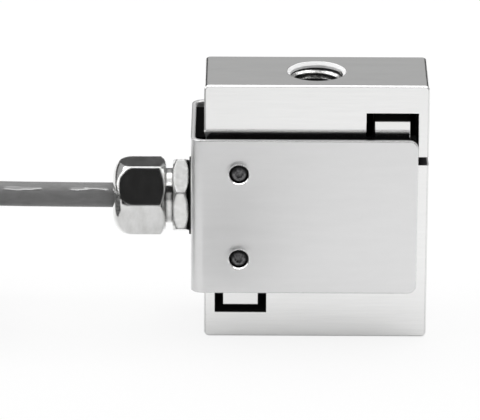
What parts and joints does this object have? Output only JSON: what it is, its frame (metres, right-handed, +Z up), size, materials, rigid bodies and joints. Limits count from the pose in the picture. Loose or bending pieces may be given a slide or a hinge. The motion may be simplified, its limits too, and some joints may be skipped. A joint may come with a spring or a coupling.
{
  "type": "s type load cell",
  "caption": "S-shaped slotted steel load cell with a wrapped sheet cover, threaded holes in its top and bottom faces, and a screened cable from a side gland.",
  "frame": {"origin": "centre of the lower thread's mouth, in the lower face that the cell stands on", "axes": "+Z up along the load line through both threads; +X to the right, away from the cable gland; +Y to the back"},
  "size_m": [0.2334, 0.053, 0.061],
  "materials": {
    "nickel_steel": "nickel-plated alloy steel, ground and polished faces",
    "cover_sheet": "nickel-plated sheet, fine satin",
    "black_rubber": "soft black rubber",
    "washer_rubber": "flat black rubber washer",
    "gland_nickel": "bright nickel-plated brass",
    "nylon": "natural nylon",
    "screw_black": "black oxide steel",
    "bush_steel": "turned steel",
    "circuit_board": "green lacquered board with tinned pads",
    "resistor_ceramic": "chip resistor",
    "enamelled_wire": "enamelled copper wire",
    "gauge_foil": "foil grid on an amber film",
    "cable_jacket": "grey PVC, satin",
    "tie_nylon": "black nylon strap",
    "tinned_copper": "twisted tinned copper strands",
    "core_red": "red PVC insulation",
    "core_black": "black PVC insulation",
    "core_green": "green PVC insulation",
    "core_white": "white PVC insulation"
  },
  "bodies": {
    "root": {"bare_core_black": "core_black", "bare_core_green": "core_green", "bare_core_red": "core_red", "bare_core_white": "core_white", "bare_screen": "tinned_copper", "cable_hank": "cable_jacket", "cable_lead": "cable_jacket", "cable_tail": "cable_jacket", "cover": "cover_sheet", "cover_gasket_back": "black_rubber", "cover_gasket_front": "black_rubber", "cover_gasket_left": "black_rubber", "cover_screw_back_lower": "screw_black", "cover_screw_back_upper": "screw_black", "cover_screw_front_lower": "screw_black", "cover_screw_front_upper": "screw_black", "gauge_wires": "enamelled_wire", "gland_body": "gland_nickel", "gland_claw": "nylon", "gland_dome_nut": "gland_nickel", "gland_lock_nut": "gland_nickel", "gland_seal": "black_rubber", "gland_washer": "washer_rubber", "hank_tie_back": "tie_nylon", "hank_tie_front": "tie_nylon", "inner_core_black": "core_black", "inner_core_green": "core_green", "inner_core_red": "core_red", "inner_core_white": "core_white", "s_beam": "nickel_steel", "screw_bush_back_lower": "bush_steel", "screw_bush_back_upper": "bush_steel", "screw_bush_front_lower": "bush_steel", "screw_bush_front_upper": "bush_steel", "screw_cup_back_lower": "gland_nickel", "screw_cup_back_upper": "gland_nickel", "screw_cup_front_lower": "gland_nickel", "screw_cup_front_upper": "gland_nickel", "strain_gauge_left_lower": "gauge_foil", "strain_gauge_left_upper": "gauge_foil", "strain_gauge_right_lower": "gauge_foil", "strain_gauge_right_upper": "gauge_foil", "terminal_board": "circuit_board", "trim_resistors": "resistor_ceramic"}
  },
  "joints": []
}
